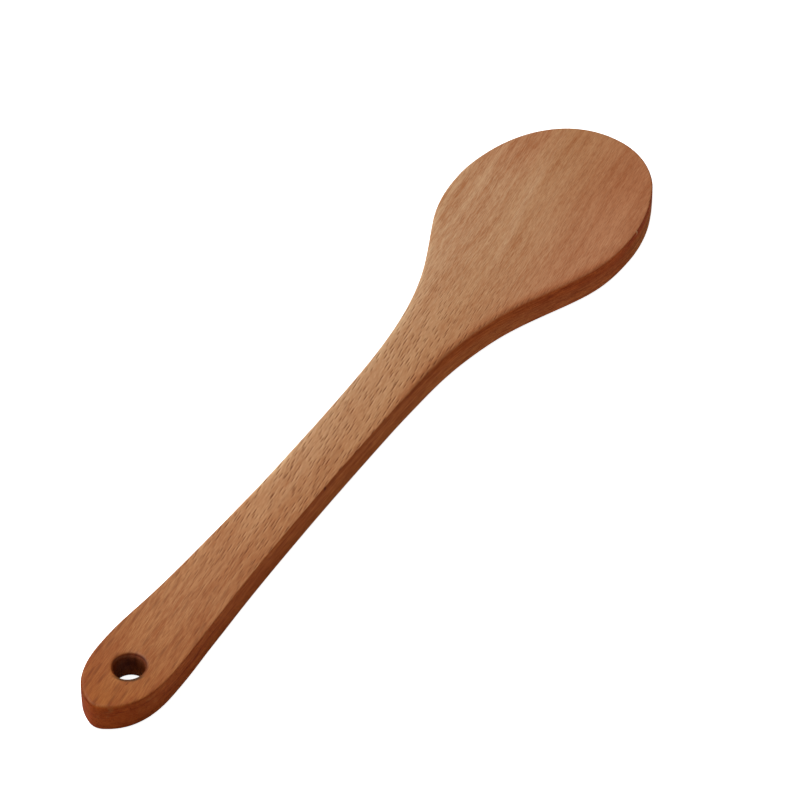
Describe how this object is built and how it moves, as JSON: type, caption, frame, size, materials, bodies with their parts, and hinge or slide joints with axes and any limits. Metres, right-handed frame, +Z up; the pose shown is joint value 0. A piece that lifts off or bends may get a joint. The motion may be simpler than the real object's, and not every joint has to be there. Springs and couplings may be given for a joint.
{
  "type": "wooden spatula",
  "caption": "Flat wooden cooking spatula with an oval blade, a slim waisted handle and a hanging hole in its rounded tail.",
  "frame": {"origin": "centre of the board's bounding box on its underside, under the slim middle of the handle", "axes": "+X along the handle towards the round end of the blade, +Y across the board, +Z up from the underside to the upper face"},
  "size_m": [0.3, 0.0642, 0.0094],
  "materials": {
    "beech": "sanded and lightly oiled beech, satin"
  },
  "bodies": {
    "root": {"spatula_body": "beech"}
  },
  "joints": []
}
